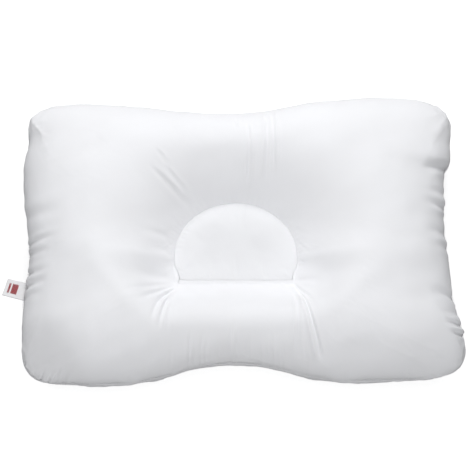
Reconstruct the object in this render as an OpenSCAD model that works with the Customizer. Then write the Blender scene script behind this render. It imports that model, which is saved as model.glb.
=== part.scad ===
// Cervical support pillow: a fibre-filled fabric pillow with a low D-shaped
// head cradle, a full neck roll in front of it and thick lobes to each side.
// Frame: millimetres, X along the length, Y from the neck roll (-Y) to the
// crown (+Y), Z up. The origin is the middle of the flat resting face.

/* [Pillow outline] */
// Length over the four corners
pillow_length = 610; // [500:5:640]
// Depth over the four corners
pillow_depth = 406; // [330:2:420]
// Squareness of the corners, higher is squarer
corner_power = 10; // [4:0.5:12]
// How far the neck-roll edge dips in at its middle
front_waist = 29; // [0:1:35]
// How far the crown edge dips in at its middle
rear_waist = 17; // [0:1:30]
// How far each end edge dips in at its middle
side_waist = 13; // [0:1:18]

/* [Loft] */
// Height of the perimeter seam above the resting face
seam_z = 50; // [40:1:60]
// Height of the side lobes at their crest
lobe_height = 116; // [95:1:125]
// Height of the neck roll and crown at their middle
roll_height = 107; // [90:1:120]
// Size of the flat resting face as a share of the outline
flat_share = 0.80; // [0.7:0.01:0.88]

/* [Head cradle] */
// Radius of the cradle's arc
cradle_radius = 85; // [70:1:95]
// Distance from the middle of the pillow to the arc's centre, towards the neck
cradle_offset = 21; // [10:1:35]
// Length of the straight sides that run from the arc towards the neck
cradle_leg = 33; // [15:1:45]
// How far the cradle panel crowns above its seam
cradle_crown = 13; // [5:1:20]
// Distance over which the pillow rises from the cradle's arc to its crest
cradle_slope = 84; // [50:1:95]
// Distance over which the neck roll rises in front of the cradle
neck_slope = 58; // [45:1:75]

/* [Fabric and thread] */
// Thickness of the cover fabric with its lining
cloth_t = 1; // [0.8:0.1:1.5]
// Thickness of the inner baffle fabric
baffle_t = 0.8; // [0.6:0.1:1]
// Width of the seam allowance turned inside
allowance = 8; // [6:0.5:10]
// Thickness of the sewing thread bead
thread_d = 0.9; // [0.6:0.1:1]

/* [Side label] */
// Length of the ribbon loop outside the seam
label_length = 29; // [20:1:40]
// Width of the ribbon
label_width = 25; // [15:1:30]
// Distance of the label from the middle of the end edge, towards the neck
label_offset = 71; // [30:1:100]
// Angle the label turns from the pillow's length towards the crown
label_turn = 15; // [0:1:20]

/* [Hidden] */

cover_color = [0.95, 0.95, 0.96];
panel_color = [0.97, 0.97, 0.98];
baffle_color = [0.86, 0.87, 0.88];
fill_color = [0.93, 0.94, 0.92];
thread_color = [0.82, 0.83, 0.85];
ribbon_color = [0.93, 0.92, 0.90];
mark_color = [0.75, 0.16, 0.15];

// the rounded corners and waists take these few millimetres back off
half_length = pillow_length / 2 + 1.7;
half_depth = pillow_depth / 2 + 0.6;
edge_total = 4 * half_length + 4 * half_depth;

// the neck sector runs between the cradle's two front corners
neck_half = 112;             // half width of the neck sector at the edge
neck_steps = 14;             // outline steps across the neck sector
rest_steps = 106;            // outline steps around the rest
around = neck_steps + rest_steps;

front_y = cradle_offset + cradle_leg;   // cradle's straight edge is at -front_y
arc_length = PI * cradle_radius;
cradle_total = arc_length + 2 * cradle_leg;
thread_r = thread_d / 2;

// ---- outline ---------------------------------------------------------

// distance from each dip's middle to where it fades out
front_reach = 165;
rear_reach = 235;
side_reach = 170;

// a smooth bump that is 1 at t = 0 and 0 from |t| = 1 outwards
function bump(t) = abs(t) >= 1 ? 0 : 0.5 * (1 + cos(180 * t));

// half depth and half length left after the waists and an inset
function depth_at(x, y, inset) = half_depth - inset
    - (y < 0 ? front_waist * bump(x / front_reach) : rear_waist * bump(x / rear_reach));
function length_at(y, inset) = half_length - inset - side_waist * bump(y / side_reach);

// walk counter-clockwise around a rectangle from the middle of its front
function on_rect(d) =
    d < half_length ? [d, -half_depth] :
    d < half_length + 2 * half_depth ? [half_length, d - half_length - half_depth] :
    d < 3 * half_length + 2 * half_depth ? [2 * half_length + 2 * half_depth - d, half_depth] :
    d < 3 * half_length + 4 * half_depth ? [-half_length, 3 * half_length + 3 * half_depth - d] :
    [d - 4 * half_length - 4 * half_depth, -half_depth];

// how far out a point lies, from 0 in the middle to 1 at the given half sizes
function outness(x, y, length, depth) =
    pow(pow(abs(x / length), corner_power) + pow(abs(y / depth), corner_power),
        1 / corner_power);
function round_rect(p) = p / outness(p[0], p[1], half_length, half_depth);
function waisted(p, inset) = [p[0] / half_length * length_at(p[1], inset),
    p[1] / half_depth * depth_at(p[0], p[1], inset)];

// distance walked at step i; steps 0 to neck_steps cross the neck sector
function walk(i) = i <= neck_steps
    ? (-neck_half + 2 * neck_half * i / neck_steps + edge_total) % edge_total
    : neck_half + (edge_total - 2 * neck_half) * (i - neck_steps) / rest_steps;
function edge_pt(i, inset = 0) = waisted(round_rect(on_rect(walk(i))), inset);
function edge_ring(inset, z) =
    [for (i = [0:around - 1]) let (p = edge_pt(i, inset)) [p[0], p[1], z]];

// outness measured against the waisted outline
function gauge(x, y, inset) = outness(x, y, length_at(y, inset), depth_at(x, y, inset));

// ---- cradle outline --------------------------------------------------

function on_arc(angle, r) = [r * cos(angle), r * sin(angle) - cradle_offset];
// up the +X side, around the arc and down the -X side, s from the corner
function cradle_rest(s, r) =
    s <= cradle_leg ? [r, -front_y + s] :
    s < cradle_leg + arc_length
        ? on_arc((s - cradle_leg) / cradle_radius * 180 / PI, r) :
    [-r, -front_y + cradle_total - s];
// cradle outline at step i, grown outwards
function cradle_pt(i, grow = 0) = i <= neck_steps
    ? [(cradle_radius + (i == 0 || i == neck_steps ? grow : 0))
        * (2 * i / neck_steps - 1), -front_y - grow]
    : cradle_rest(cradle_total * (i - neck_steps) / rest_steps, cradle_radius + grow);
// distance outside the cradle outline
function cradle_gap(x, y) = y > -cradle_offset
    ? norm([x, y + cradle_offset]) - cradle_radius
    : norm([max(abs(x) - cradle_radius, 0), max(-front_y - y, 0)]);

// a point a share of the way from an inner point to an outer one
function mix(inner, outer, share) = inner * (1 - share) + outer * share;

// ---- height of the two faces, inset from the outer surface -----------

crest_tilt = 2;        // crest falls this much from the middle to the crown
crest_reach = 235;     // distance from the middle to the full lobe height
shoulder_share = 0.42; // where the top begins to fall towards the seam
top_power = 2.6;       // fullness of the top towards the seam
bottom_power = 2.2;    // fullness of the under side towards the seam
blend_start = 25;      // slope blend starts this far in front of the cradle
blend_length = 75;
side_slope = 18;       // extra slope distance towards the lobes
side_slope_reach = 200;

function crest(x, y, inset) = roll_height - inset - crest_tilt * y / half_depth
    + (lobe_height - roll_height) * (1 - bump(x / crest_reach));
function rise(t) = t <= 0 ? 0 : sin(90 * min(1, t));
// falls from 1 at t = 0 to 0 at t = 1, ever steeper
function drop(t, power) = t >= 1 ? 0 : t <= 0 ? 1 : sqrt(1 - pow(t, power));
function ease(t) = let (c = max(0, min(1, t))) c * c * (3 - 2 * c);
function slope_at(x, y) = neck_slope + ease((y + front_y + blend_start) / blend_length)
    * (cradle_slope - neck_slope + side_slope * (1 - bump(x / side_slope_reach)));
function top_z(x, y, inset) = seam_z + (crest(x, y, inset) - seam_z)
    * rise((cradle_gap(x, y) - inset) / slope_at(x, y))
    * drop((gauge(x, y, inset) - shoulder_share) / (1 - shoulder_share), top_power);
function bottom_z(x, y, inset) = inset + (seam_z - inset)
    * (1 - drop((gauge(x, y, inset) - flat_share) / (1 - flat_share), bottom_power));

// ---- closed skins made of rings --------------------------------------

// triangle pairs that join two rings of n points starting at a and b;
// an open band leaves out the last pair
function band(a, b, n, closed = true) =
    [for (i = [0:n - (closed ? 1 : 2)]) let (j = (i + 1) % n)
        each [[a + i, a + j, b + j], [a + i, b + j, b + i]]];

// a ring-shaped solid: rings go round its section and meet again
module ring_solid(rings) {
    n = len(rings[0]);
    m = len(rings);
    polyhedron([for (r = rings) each r],
        [for (k = [0:m - 1]) each band(k * n, ((k + 1) % m) * n, n)],
        convexity = 6);
}

// a solid closed at both ends by triangles that meet at two points
module capped_solid(rings, first_tip, last_tip) {
    n = len(rings[0]);
    m = len(rings);
    polyhedron([for (r = rings) each r, first_tip, last_tip],
        concat([for (i = [0:n - 1]) [m * n, (i + 1) % n, i]],
        [for (k = [0:m - 2]) each band(k * n, (k + 1) * n, n)],
        [for (i = [0:n - 1]) [m * n + 1, (m - 1) * n + i,
            (m - 1) * n + (i + 1) % n]]), convexity = 6);
}

// shares of the way out, closer together at the cradle and the edge
function out_shares(n, skew = 1) =
    [for (k = [0:n]) 0.5 * (1 - cos(180 * pow(k / n, skew)))];

// ---- covers ----------------------------------------------------------

lip_t = cloth_t * 0.8;       // thickness of the turned-in seam allowance
top_rim = seam_z + 0.1;      // the two covers stay just apart at the seam
bottom_rim = seam_z - 0.1;
rim_gap = 0.6;               // between the cradle seam and each fabric edge

top_rings = 13;
top_shares = out_shares(top_rings, 0.9);
// ring k of the top cover, no lower than floor_z away from the cradle
function top_ring(k, inset, floor_z) = [for (i = [0:around - 1])
    let (p = mix(cradle_pt(i), edge_pt(i, 0), top_shares[k]),
        s = mix(cradle_pt(i, inset), edge_pt(i, inset), top_shares[k]),
        q = k == 0 ? cradle_pt(i, rim_gap + inset) : inset == 0 ? p : s)
    [q[0], q[1], k == 0 ? top_rim : max(floor_z, top_z(q[0], q[1], inset))]];

module top_cover() {
    outer = [for (k = [0:top_rings]) top_ring(k, 0, top_rim)];
    lip = [for (z = [top_rim, top_rim + lip_t]) edge_ring(allowance, z)];
    inner = [for (k = [top_rings:-1:0]) top_ring(k, cloth_t, top_rim + lip_t)];
    color(cover_color) ring_solid(concat(outer, lip, inner));
}

bottom_rings = 7;
// shares of the outline for the under side, from the seam to the flat
function bottom_share(k) = 1 - (1 - flat_share) * (1 - cos(90 * k / bottom_rings));

module bottom_cover() {
    outer = [for (k = [bottom_rings:-1:0]) [for (i = [0:around - 1])
        let (p = edge_pt(i) * bottom_share(k))
        [p[0], p[1], k == bottom_rings ? 0 : k == 0 ? bottom_rim
            : bottom_z(p[0], p[1], 0)]]];
    lip = [for (z = [bottom_rim, bottom_rim - lip_t]) edge_ring(allowance, z)];
    inner = [for (k = [0:bottom_rings]) [for (i = [0:around - 1])
        let (p = edge_pt(i, cloth_t) * bottom_share(k))
        [p[0], p[1], k == bottom_rings ? cloth_t
            : min(bottom_rim - lip_t, bottom_z(p[0], p[1], cloth_t))]]];
    color(cover_color) capped_solid(concat(outer, lip, inner), [0, 0, 0],
        [0, 0, cloth_t]);
}

// ---- cradle panel and its fill ---------------------------------------

dome_rings = 6;
dome_y = 4 - cradle_offset;  // middle of the dome
fill_drop = 2.2;             // cradle fill lies this far inside its panel
function dome_z(share) = cradle_crown * (1 - pow(share, 2.6));
// ring k of the dome, from 1 near the middle to dome_rings at the seam
function dome_ring(k, inset, z) = [for (i = [0:2:around - 1])
    let (p = mix([0, dome_y], cradle_pt(i, -inset), k / dome_rings)) [p[0], p[1], z]];

module cradle_panel() {
    top = [for (k = [dome_rings:-1:1])
        dome_ring(k, rim_gap, seam_z + dome_z(k / dome_rings))];
    under = [for (k = [1:dome_rings]) dome_ring(k, rim_gap + cloth_t,
        seam_z + (k == dome_rings ? 0 : dome_z(k / dome_rings) - cloth_t))];
    color(panel_color) capped_solid(concat(under, top),
        [0, dome_y, seam_z + cradle_crown - cloth_t],
        [0, dome_y, seam_z + cradle_crown]);
}

module cradle_fill() {
    floor_z = cloth_t + 0.6;
    base = dome_ring(dome_rings, fill_drop, floor_z);
    top = [for (k = [dome_rings:-1:1])
        dome_ring(k, fill_drop, seam_z - fill_drop + dome_z(k / dome_rings))];
    color(fill_color) capped_solid(concat([base], top),
        [0, dome_y, floor_z],
        [0, dome_y, seam_z - fill_drop + cradle_crown]);
}

// ---- baffles ---------------------------------------------------------

baffle_foot = cloth_t + 0.1;
baffle_height = seam_z - cloth_t - 0.7;

// the cradle outline as a flat shape, grown outwards
module cradle_shape(grow) {
    r = cradle_radius + grow;
    intersection() {
        translate([0, -cradle_offset]) circle(r, $fn = 96);
        translate([-r, -cradle_offset]) square(2 * r);
    }
    translate([-r, -front_y - grow]) square([2 * r, cradle_leg + grow]);
}

// upright wall that holds the cradle's curved seam down to the base
module cradle_arc_baffle() {
    color(baffle_color) translate([0, 0, baffle_foot])
        linear_extrude(baffle_height) difference() {
            cradle_shape(baffle_t / 2);
            cradle_shape(-baffle_t / 2);
            // opens the wall along the straight edge
            translate([-cradle_radius - 5, -front_y - 5])
                square([2 * cradle_radius + 10, 6]);
        }
}

// upright wall under the straight seam, between cradle and neck roll
module cradle_neck_baffle() {
    end_gap = 1.2;
    color(baffle_color)
        translate([-cradle_radius + end_gap, -front_y - baffle_t / 2, baffle_foot])
            cube([2 * cradle_radius - 2 * end_gap, baffle_t, baffle_height]);
}

// ---- fill around the cradle ------------------------------------------

fill_rings = 9;
fill_shares = out_shares(fill_rings);
fill_inset = cloth_t + 0.5;  // cloth and a clearance inside it

// stuffing between two outline steps, in from the covers and baffles;
// end_shift moves the two end walls along X, in opposite directions
module sector_fill(first_step, last_step, end_shift) {
    steps = [for (i = [first_step:2:last_step]) i];
    n = len(steps);
    function pt(k, j) = mix(cradle_pt(steps[j], fill_inset + 1.4),
            edge_pt(steps[j], allowance + 2), fill_shares[k])
        + [j == 0 ? end_shift : j == n - 1 ? -end_shift : 0, 0];
    // top runs out, then underneath runs back in
    top = [for (k = [0:fill_rings]) [for (j = [0:n - 1]) let (p = pt(k, j))
        [p[0], p[1], max(seam_z - 4, top_z(p[0], p[1], fill_inset + 1.2) - 1)]]];
    under = [for (k = [fill_rings:-1:0]) [for (j = [0:n - 1]) let (p = pt(k, j))
        [p[0], p[1], bottom_z(p[0], p[1], fill_inset + 0.8) + 0.5]]];
    rings = concat(top, under);
    m = len(rings);
    // end wall at column j, as strips between the top and the underneath
    function end_wall(j) = [for (k = [0:fill_rings - 1])
        let (a = k * n + j, b = a + n, c = (m - 1 - k) * n + j, d = c - n)
            each [[a, b, d], [a, d, c]]];
    faces = concat(
        [for (k = [0:m - 1]) each band(k * n, ((k + 1) % m) * n, n, closed = false)],
        end_wall(0),
        [for (f = end_wall(n - 1)) [f[0], f[2], f[1]]]);
    polyhedron([for (r = rings) each r], faces, convexity = 6);
}

module neck_roll_fill() {
    color(fill_color) sector_fill(0, neck_steps, 0);
}

module surround_fill() {
    color(fill_color) sector_fill(neck_steps, around, 1);
}

// ---- thread ----------------------------------------------------------

// five-sided bead of thread along the outline
module edge_bead(inset, z) {
    sides = 5;
    ring_solid([for (k = [0:sides - 1]) let (angle = 360 * k / sides)
        edge_ring(inset + thread_r * cos(angle), z + thread_r * sin(angle))]);
}

module perimeter_seam_thread() {
    color(thread_color) edge_bead(2.5, seam_z - cloth_t - 0.6);
}

module perimeter_overlock_thread() {
    color(thread_color) edge_bead(allowance + 0.9, seam_z);
}

// hand-closed stitches on the outside of the filling gap, at the -X end
// of the neck-roll edge; three stitches to each outline step
module closing_seam_thread() {
    inset = -0.15 - thread_r;
    color(thread_color) for (i = [around - 13:around - 6], t = [0, 1 / 3, 2 / 3]) {
        a = edge_pt(i, inset);
        b = edge_pt(i + 1, inset);
        start = a + (b - a) * (t + 0.06);
        end = a + (b - a) * (t + 0.28);
        run = end - start;
        translate([start[0], start[1], seam_z]) rotate([0, 0, atan2(run[1], run[0])])
            rotate([0, 90, 0]) cylinder(r = thread_r, h = norm(run), $fn = 24);
    }
}

// thread along the arc and straight sides of the cradle, grown outwards
module arc_bead(grow, z) {
    translate([0, -cradle_offset, z]) rotate_extrude(angle = 180, $fn = 96)
        translate([cradle_radius + grow, 0]) circle(thread_r, $fn = 24);
    for (side = [-1, 1])
        translate([side * (cradle_radius + grow), -cradle_offset, z])
            rotate([90, 0, 0]) cylinder(r = thread_r, h = cradle_leg - 1, $fn = 24);
}

// thread along the straight front edge of the cradle
module neck_bead(grow, z) {
    translate([-cradle_radius + 1, -front_y - grow, z]) rotate([0, 90, 0])
        cylinder(r = thread_r, h = 2 * cradle_radius - 2, $fn = 24);
}

cradle_thread_z = seam_z + 0.2;

module cradle_arc_seam_thread() {
    color(thread_color) arc_bead(0, cradle_thread_z);
}

module cradle_neck_seam_thread() {
    color(thread_color) neck_bead(0, cradle_thread_z);
}

module baffle_foot_thread() {
    grow = baffle_t / 2 + thread_r + 0.1;
    color(thread_color) {
        arc_bead(grow, baffle_foot + thread_r);
        neck_bead(grow, baffle_foot + thread_r);
    }
}

// ---- side label ------------------------------------------------------

// ribbon folded in half into a loop; its two ends meet at the seam
ribbon_t = 0.45;
fold_r = 0.75;               // outer radius of the fold
fold_x = label_length - fold_r;
label_gap = 1.2;             // between the seam and the trimmed ends
label_tail = 6;              // ribbon behind the seam before trimming
label_x = -length_at(label_offset, 0);
// direction of the seam where the label leaves it, away from +Y
seam_turn = atan((length_at(label_offset + 12, 0) - length_at(label_offset - 12, 0)) / 24);

module at_label() {
    translate([label_x, -label_offset, seam_z])
        rotate([0, 0, 180 - label_turn]) children();
}

// side view of a solid ribbon loop with its fold at +X
module loop_shape(tail, r) {
    translate([-tail, -r]) square([fold_x + tail, 2 * r]);
    translate([fold_x, 0]) circle(r, $fn = 48);
}

module side_label() {
    color(ribbon_color) difference() {
        at_label() rotate([90, 0, 0])
            linear_extrude(label_width, center = true) difference() {
                union() loop_shape(label_tail, fold_r);
                union() loop_shape(label_tail + 1, fold_r - ribbon_t);
            }
        // trimmed along the seam, leaving room for the loop to bend
        translate([label_x - label_gap, -label_offset, seam_z - 10])
            rotate([0, 0, -seam_turn]) translate([0, -30, 0]) cube([30, 60, 20]);
    }
}

// woven mark: a plain block with one narrow bar beside it
module label_mark() {
    // start and length of each, as shares of the label's length
    bars = [[0.36, 0.30], [0.73, 0.10]];
    half_share = 0.29;       // half width as a share of the label's width
    color(mark_color) at_label() translate([0, 0, fold_r + 0.02])
        linear_extrude(0.25)
            for (bar = bars)
                translate([label_length * bar[0], -label_width * half_share])
                    square([label_length * bar[1], label_width * 2 * half_share]);
}

bottom_cover();
top_cover();
cradle_panel();
cradle_arc_baffle();
cradle_neck_baffle();
neck_roll_fill();
surround_fill();
cradle_fill();
perimeter_seam_thread();
perimeter_overlock_thread();
closing_seam_thread();
cradle_arc_seam_thread();
cradle_neck_seam_thread();
baffle_foot_thread();
side_label();
label_mark();
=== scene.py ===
"""A stuffed pillow with a sunken D-shaped cradle in its middle, lying on the table at z = 0.

The pillow is long along x. The neck roll runs along its front, towards -y, and the cradle's
arc bulges to the rear, +y. Two covers meet in a seam all round at SEAM_Z; baffles, stuffing,
threads and a folded label at the left end, -x, complete it.
Shapes are worked out in millimetres and become metres in add_mesh. Grids are arrays of
(row, column, xyz); their columns run anticlockwise round the pillow, seen from above.
"""
import math

import bpy
import bmesh
import numpy as np
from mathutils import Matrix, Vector


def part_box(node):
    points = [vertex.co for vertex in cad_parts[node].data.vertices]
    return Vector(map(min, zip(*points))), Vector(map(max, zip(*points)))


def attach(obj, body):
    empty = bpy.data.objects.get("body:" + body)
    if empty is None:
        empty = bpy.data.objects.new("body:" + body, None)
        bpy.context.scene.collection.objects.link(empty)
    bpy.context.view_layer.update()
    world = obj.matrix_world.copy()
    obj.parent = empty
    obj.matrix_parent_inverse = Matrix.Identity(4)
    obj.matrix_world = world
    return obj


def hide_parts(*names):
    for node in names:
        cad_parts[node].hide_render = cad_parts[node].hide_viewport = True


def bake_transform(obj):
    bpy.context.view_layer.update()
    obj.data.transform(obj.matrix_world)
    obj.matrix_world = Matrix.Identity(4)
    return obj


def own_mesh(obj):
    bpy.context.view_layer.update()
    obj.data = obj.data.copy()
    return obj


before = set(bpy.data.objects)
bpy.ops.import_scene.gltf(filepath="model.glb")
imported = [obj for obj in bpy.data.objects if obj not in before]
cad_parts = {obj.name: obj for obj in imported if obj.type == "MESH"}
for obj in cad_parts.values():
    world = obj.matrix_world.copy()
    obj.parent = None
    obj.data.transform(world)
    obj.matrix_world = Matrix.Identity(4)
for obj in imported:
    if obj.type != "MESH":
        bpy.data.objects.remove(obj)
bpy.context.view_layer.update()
TAU = 2 * math.pi
MM = 0.001

# ---------------------------------------------------------------- sizes, from the CAD boxes (mm)
cover_low, cover_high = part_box("top_cover")
panel_low, panel_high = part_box("cradle_panel")
SEAM_Z = cover_low.z / MM
LOBE_Z = cover_high.z / MM                 # crest of the two lobes beside the neck roll
ROLL_Z = LOBE_Z - 8.0                      # crest across the middle
HALF_LENGTH = cover_high.x / MM + 2.0      # both are settled below: waists and corners
HALF_DEPTH = cover_high.y / MM + 1.0       # take a little off again
FRONT_WAIST, REAR_WAIST, SIDE_WAIST = 29.0, 17.0, 13.0
CORNER_POWER = 10.0                        # higher is squarer
FLAT_SHARE = 0.80                          # share of the outline that lies flat on the table
CRADLE_MARGIN = 0.6                        # from the CAD panel out to the cradle line
ARC_R = panel_high.x / MM + CRADLE_MARGIN
ARC_SHIFT = ARC_R - CRADLE_MARGIN - panel_high.y / MM   # the arc's centre lies at y = -this
CRADLE_FRONT = -panel_low.y / MM + CRADLE_MARGIN        # the straight edge lies at y = -this
CRADLE_CROWN = (panel_high.z - panel_low.z) / MM
CRADLE_LEG = CRADLE_FRONT - ARC_SHIFT      # straight sides between front edge and arc
CRADLE_ARC = math.pi * ARC_R
CRADLE_LINE = CRADLE_ARC + 2 * CRADLE_LEG  # leg, arc, leg
MIDDLE = np.array([0.0, 4 - ARC_SHIFT])    # where the cradle's grids close
SLOPE, NECK_SLOPE = 89.0, 50.0             # width of the rise beside the cradle, and in front
NECK_HALF = 112.0                          # half the neck roll's stretch of the outline
NECK_SHARE = 0.125                         # share of the columns that cross the neck roll
CLOTH = 1.0                                # cover cloth thickness
ALLOWANCE = 7.0                            # seam allowance, turned in
GROOVE = 2.6                               # how far the covers draw in at the seam
TURNED = 6.5                               # cradle seam allowance, turned down


# ---------------------------------------------------------------- plan and height
def hump(share):
    """1 at 0, easing down to 0 at 1 and beyond, on both sides."""
    share = np.abs(share)
    return np.where(share >= 1, 0.0, 0.5 * (1 + np.cos(np.pi * np.minimum(share, 1))))


def ease(share):
    """0 up to 0, easing up to 1 at 1 and beyond."""
    share = np.clip(share, 0, 1)
    return share * share * (3 - 2 * share)


def half_depth(x, y):
    waist = np.where(y < 0, FRONT_WAIST * hump(x / 165), REAR_WAIST * hump(x / 235))
    return HALF_DEPTH - waist


def half_length(y):
    return HALF_LENGTH - SIDE_WAIST * hump(y / 170)


def on_rectangle(distance):
    """Point at a distance round the bounding rectangle from the middle of its front side."""
    long, deep = HALF_LENGTH, HALF_DEPTH
    distance = np.mod(distance, 4 * long + 4 * deep)
    sides = [distance < long, distance < long + 2 * deep,
             distance < 3 * long + 2 * deep, distance < 3 * long + 4 * deep]
    x = np.select(sides, [distance, long, 2 * long + 2 * deep - distance, -long],
                  distance - 4 * long - 4 * deep)
    y = np.select(sides, [-deep, distance - long - deep, deep, 3 * long + 3 * deep - distance],
                  -deep)
    return x, y


def outline(turn):
    """Seam outline for turn in 0..1; the first NECK_SHARE of it crosses the neck roll."""
    total = 4 * (HALF_LENGTH + HALF_DEPTH)
    rest = (turn - NECK_SHARE) / (1 - NECK_SHARE)
    distance = np.where(turn < NECK_SHARE, -NECK_HALF + 2 * NECK_HALF * turn / NECK_SHARE,
                        NECK_HALF + (total - 2 * NECK_HALF) * rest)
    x, y = on_rectangle(distance)
    shrink = ((np.abs(x) / HALF_LENGTH) ** CORNER_POWER
              + (np.abs(y) / HALF_DEPTH) ** CORNER_POWER) ** (-1 / CORNER_POWER)
    x, y = x * shrink, y * shrink
    return x / HALF_LENGTH * half_length(y), y / HALF_DEPTH * half_depth(x, y)


for _ in range(3):
    outline_x, outline_y = outline(np.arange(4000) / 4000)
    HALF_LENGTH += cover_high.x / MM - outline_x.max()
    HALF_DEPTH += cover_high.y / MM - outline_y.max()


def cradle_line(turn, grow=0.0):
    """Cradle outline for turn in 0..1, spaced to match outline()."""
    radius = ARC_R + grow
    rest = np.clip((turn - NECK_SHARE) / (1 - NECK_SHARE), 0, 1) * CRADLE_LINE
    angle = np.clip((rest - CRADLE_LEG) / ARC_R, 0, math.pi)
    first_leg, arc = rest <= CRADLE_LEG, rest < CRADLE_LEG + CRADLE_ARC
    x = np.where(first_leg, radius, np.where(arc, radius * np.cos(angle), -radius))
    y = np.where(first_leg, -CRADLE_FRONT + rest,
                 np.where(arc, radius * np.sin(angle) - ARC_SHIFT,
                          -CRADLE_FRONT + CRADLE_LINE - rest))
    front = turn < NECK_SHARE
    x = np.where(front, radius * (2 * turn / NECK_SHARE - 1), x)
    y = np.where(front, -CRADLE_FRONT - grow, y)
    return x, y


def edge_share(x, y, power=CORNER_POWER):
    """0 in the middle of the pillow, 1 at its outline; a lower power rounds the corners."""
    return ((np.abs(x) / half_length(y)) ** power
            + (np.abs(y) / half_depth(x, y)) ** power) ** (1 / power)


def outside_cradle(x, y):
    """Distance outwards from the cradle line."""
    corner = np.hypot(np.maximum(np.abs(x) - ARC_R, 0), np.maximum(-CRADLE_FRONT - y, 0))
    return np.where(y > -ARC_SHIFT, np.hypot(x, y + ARC_SHIFT) - ARC_R, corner)


def inside_cradle(x, y):
    """Distance inwards from the cradle line."""
    side = np.where(y > -ARC_SHIFT, ARC_R - np.hypot(x, y + ARC_SHIFT), ARC_R - np.abs(x))
    return np.minimum(side, y + CRADLE_FRONT)


def shoulder(share, power):
    """1 at 0, falling to 0 at 1 in a rounded shoulder."""
    return np.sqrt(np.clip(1 - np.clip(share, 0, 1) ** power, 0, 1))


def top_z(x, y):
    """Height of the upper cover: up from the cradle line, over the crest, down to the seam."""
    crest = (ROLL_Z - 2 * y / HALF_DEPTH + (LOBE_Z - ROLL_Z) * (1 - hump(x / 235))
             - 8 * ease(-y / 70) * hump(x / 170))
    # the rise is steep in front of the cradle and widens behind it and towards the ends
    width = NECK_SLOPE + ease((y + CRADLE_FRONT + 45) / 110) * (
        SLOPE - NECK_SLOPE + 18 * (1 - hump(x / 200)))
    # the fold is soft along the neck side
    soft = 16.0 * ease((-y - CRADLE_FRONT + 32) / 34)
    distance = np.sqrt(outside_cradle(x, y) ** 2 + soft ** 2) - soft
    rise = 1 - (1 - np.clip(distance / (1.35 * width), 0, 1)) ** 2.2
    # the stuffing thins out early towards the rear corners; the neck side is plump throughout
    share = edge_share(x, y)
    neck_side = ease((-y - 10) / 90)
    lobe = neck_side * (1 - hump(x / 170))
    rounder = np.clip(edge_share(x, y, power=3.5) - share, 0, 0.2)
    share = share + (1 - np.minimum(share, 1)) * (3.2 - 3.2 * neck_side) * rounder
    start = 0.42 - 0.08 * neck_side - 0.12 * lobe
    fall = shoulder((share - start) / (1 - start), 2.6 - 0.45 * neck_side - 0.1 * lobe)
    return SEAM_Z + (crest + 3 * lobe - SEAM_Z) * rise * fall


def bottom_z(x, y):
    """Height of the lower cover: flat in the middle, curving up to the seam."""
    return SEAM_Z * (1 - shoulder((edge_share(x, y) - FLAT_SHARE) / (1 - FLAT_SHARE), 2.2))


# ---------------------------------------------------------------- unevenness of the whole pillow
# (y, shift in x) along the left and right ends
LEFT_END = ((-203, 1), (-178, 6), (-150, 7), (-122, 6), (-105, 5), (-90, 3), (-72, 3), (-32, 4),
            (-3, 1), (25, -3), (55, -4), (84, -4), (106, -3), (124, 0), (134, 4), (145, 7),
            (160, 3), (170, 1), (195, -3))
RIGHT_END = ((-203, 5), (-178, 7), (-150, 5), (-122, 2), (-95, -3), (-66, -4), (-32, -3),
             (-3, -4), (25, -7), (55, -8), (85, -12), (98, -13), (108, -4), (118, -3),
             (135, -4), (165, 0), (195, 1))
# (x, shift in y) along the front and rear edges
FRONT_EDGE = ((-290, 0), (-120, 2), (-60, 1.5), (0, 1), (70, 2.5), (120, 4), (150, 6),
              (250, 7), (300, 5))
REAR_EDGE = ((-290, 4), (-200, 4), (-60, 4), (0, 4.5), (40, 8), (80, 13), (120, 15),
             (200, 13), (290, 12))
# (x, share added to the height) behind the middle
REAR_FULLNESS = ((-300, 0.0), (0, 0.0), (60, 0.03), (120, 0.06), (300, 0.05))


def soft_line(position, stations, reach=7.0):
    """A softened line through a few (position, value) stations."""
    places, values = zip(*stations)
    taps = ((-1.5, 1), (-0.75, 2), (0, 3), (0.75, 2), (1.5, 1))     # (offset in reaches, weight)
    return sum(np.interp(position + offset * reach, places, values) * weight
               for offset, weight in taps) / 9


def uneven(points):
    """The pillow isn't quite symmetric: it is a little fuller and deeper at the right rear."""
    points = np.array(points, float)
    x, y, z = points.T
    side = ease((np.abs(x) - 120) / 170)
    shift_x = (side * np.where(x < 0, soft_line(y, LEFT_END), soft_line(y, RIGHT_END, 4.0))
               - 4.5 * (1 - ease((np.abs(x) - 100) / 180)))
    rear = ease((y - 40) / 140)
    points[:, 1] += rear * soft_line(x, REAR_EDGE, 12.0)
    points[:, 2] += rear * soft_line(x, REAR_FULLNESS, 12.0) * np.maximum(z - SEAM_Z, 0)
    points[:, 1] += ease((-y - 70) / 110) * soft_line(x, FRONT_EDGE, 12.0)
    # both front corners sag, the left one more
    sag = ease((np.abs(x) - 195) / 100) * ease((-y - 105) / 90) * np.where(x < 0, 1.0, 0.6)
    points[:, 2] *= 1 - 0.32 * sag
    points[:, 1] += 2.8 * sag
    points[:, 0] += shift_x
    # the cradle's front corners are drawn in a little
    points[:, 0] -= (np.sign(x) * 7.5 * hump((np.abs(x) - 86) / 40) * ease((-y - 28) / 26)
                     * (1 - ease((-y - 56) / 40)))
    # the arc is a little flatter at the rear than a true half circle
    points[:, 1] -= 5.5 * ease((y + 15) / 75) * (1 - ease((y - 68) / 60)) * hump(x / 150)
    return points


# ---------------------------------------------------------------- mesh helpers
def add_mesh(name, points, faces):
    """A flat-shaded object from millimetre points."""
    mesh = bpy.data.meshes.new(name)
    mesh.from_pydata((np.asarray(points, float) * MM).tolist(), [], faces)
    mesh.validate()
    ob = bpy.data.objects.new(name, mesh)
    bpy.context.scene.collection.objects.link(ob)
    return ob


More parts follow.
